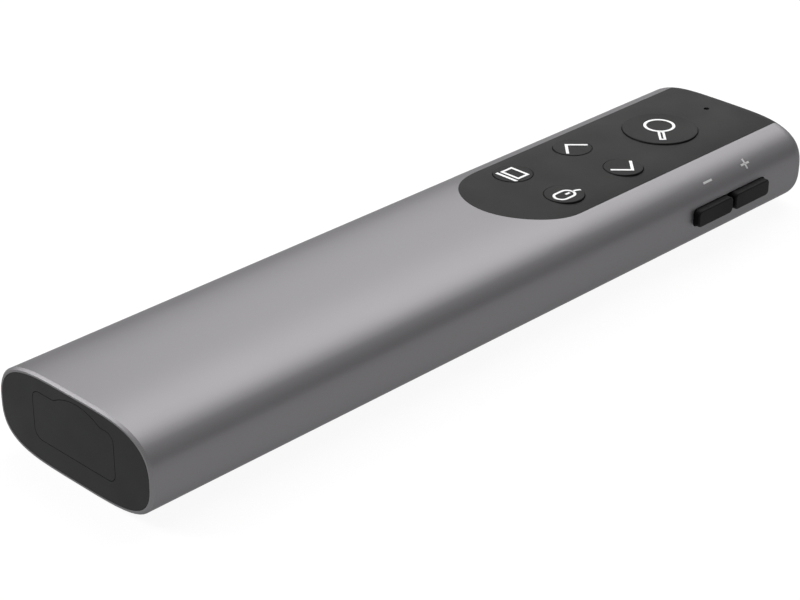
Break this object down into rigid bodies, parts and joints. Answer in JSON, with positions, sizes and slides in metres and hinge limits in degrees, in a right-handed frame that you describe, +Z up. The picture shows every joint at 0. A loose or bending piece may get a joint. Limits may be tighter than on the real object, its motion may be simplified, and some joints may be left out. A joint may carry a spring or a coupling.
{
  "type": "wireless presentation clicker",
  "caption": "Slim handheld presentation clicker: metal sleeve with soft corners, round keys in a black inlay, volume keys on its side and a radio receiver stored in its tail.",
  "frame": {"origin": "centre of the flat underside, at mid length of the whole clicker", "axes": "+Y towards the front end with the keys, +Z up out of the key face, +X towards the volume keys"},
  "size_m": [0.031, 0.1298, 0.0133],
  "materials": {
    "sleeve_metal": "bead blasted and anodised, satin",
    "panel_black": "satin black",
    "key_black": "satin black",
    "side_key_black": "satin black",
    "tail_black": "fine matt black",
    "chassis_grey": "moulded, matt",
    "gasket_dark": "matt",
    "board_green": "solder mask, satin",
    "chip_dark": "matt",
    "ceramic_cream": "matt",
    "connector_white": "satin",
    "steel_bright": "bright",
    "screw_steel": "dark",
    "contact_gold": "gold plated",
    "cell_foil": "foil",
    "pad_foam": "foam",
    "lead_sleeve": "satin",
    "magnet_nickel": "nickel plated",
    "light_clear": "clear, slightly milky",
    "switch_black": "matt",
    "stem_cream": "satin"
  },
  "bodies": {
    "clicker_body": {"body_sleeve": "sleeve_metal", "keypad_panel": "panel_black", "panel_gasket": "gasket_dark", "nose_cap": "tail_black", "tail_cap": "tail_black", "inner_chassis": "chassis_grey", "receiver_magnet": "magnet_nickel", "main_board": "board_green", "board_screws": "screw_steel", "radio_chip": "chip_dark", "motion_sensor": "chip_dark", "charger_chip": "chip_dark", "crystal": "steel_bright", "antenna": "ceramic_cream", "capacitors": "ceramic_cream", "status_led": "connector_white", "led_light_pipe": "light_clear", "battery_cell": "cell_foil", "battery_pad": "pad_foam", "battery_board": "board_green", "battery_leads": "lead_sleeve", "battery_plug": "connector_white", "battery_header": "connector_white", "charging_socket_shell": "steel_bright", "charging_socket_tongue": "switch_black", "charging_socket_contacts": "contact_gold", "spotlight_switch_body": "switch_black", "previous_switch_body": "switch_black", "next_switch_body": "switch_black", "screen_switch_body": "switch_black", "mouse_switch_body": "switch_black", "volume_down_switch_body": "switch_black", "volume_up_switch_body": "switch_black"},
    "spotlight_button": {"spotlight_key": "key_black", "spotlight_switch_stem": "stem_cream"},
    "previous_button": {"previous_key": "key_black", "previous_switch_stem": "stem_cream"},
    "next_button": {"next_key": "key_black", "next_switch_stem": "stem_cream"},
    "screen_button": {"screen_key": "key_black", "screen_switch_stem": "stem_cream"},
    "mouse_button": {"mouse_key": "key_black", "mouse_switch_stem": "stem_cream"},
    "volume_down_button": {"volume_down_key": "side_key_black", "volume_down_switch_stem": "stem_cream"},
    "volume_up_button": {"volume_up_key": "side_key_black", "volume_up_switch_stem": "stem_cream"},
    "receiver": {"usb_receiver_head": "tail_black", "usb_receiver_shell": "steel_bright", "usb_receiver_tongue": "connector_white", "usb_receiver_contacts": "contact_gold", "usb_receiver_board": "board_green", "usb_receiver_chip": "chip_dark"}
  },
  "joints": [
    {"name": "spotlight_press", "type": "slide", "parent": "clicker_body", "child": "spotlight_button", "axis": [0, 0, -1], "range_m": [0, 0.00025], "stiffness_N_per_m": 900, "springref_m": -0.0003},
    {"name": "previous_press", "type": "slide", "parent": "clicker_body", "child": "previous_button", "axis": [0, 0, -1], "range_m": [0, 0.00025], "stiffness_N_per_m": 900, "springref_m": -0.0003},
    {"name": "next_press", "type": "slide", "parent": "clicker_body", "child": "next_button", "axis": [0, 0, -1], "range_m": [0, 0.00025], "stiffness_N_per_m": 900, "springref_m": -0.0003},
    {"name": "screen_press", "type": "slide", "parent": "clicker_body", "child": "screen_button", "axis": [0, 0, -1], "range_m": [0, 0.00025], "stiffness_N_per_m": 900, "springref_m": -0.0003},
    {"name": "mouse_press", "type": "slide", "parent": "clicker_body", "child": "mouse_button", "axis": [0, 0, -1], "range_m": [0, 0.00025], "stiffness_N_per_m": 900, "springref_m": -0.0003},
    {"name": "volume_down_press", "type": "slide", "parent": "clicker_body", "child": "volume_down_button", "axis": [-1, 0, 0], "range_m": [0, 0.0003], "stiffness_N_per_m": 900, "springref_m": -0.0003},
    {"name": "volume_up_press", "type": "slide", "parent": "clicker_body", "child": "volume_up_button", "axis": [-1, 0, 0], "range_m": [0, 0.0003], "stiffness_N_per_m": 900, "springref_m": -0.0003},
    {"name": "receiver_pull", "type": "slide", "parent": "clicker_body", "child": "receiver", "axis": [0, -1, 0], "range_m": [0, 0.025]}
  ]
}
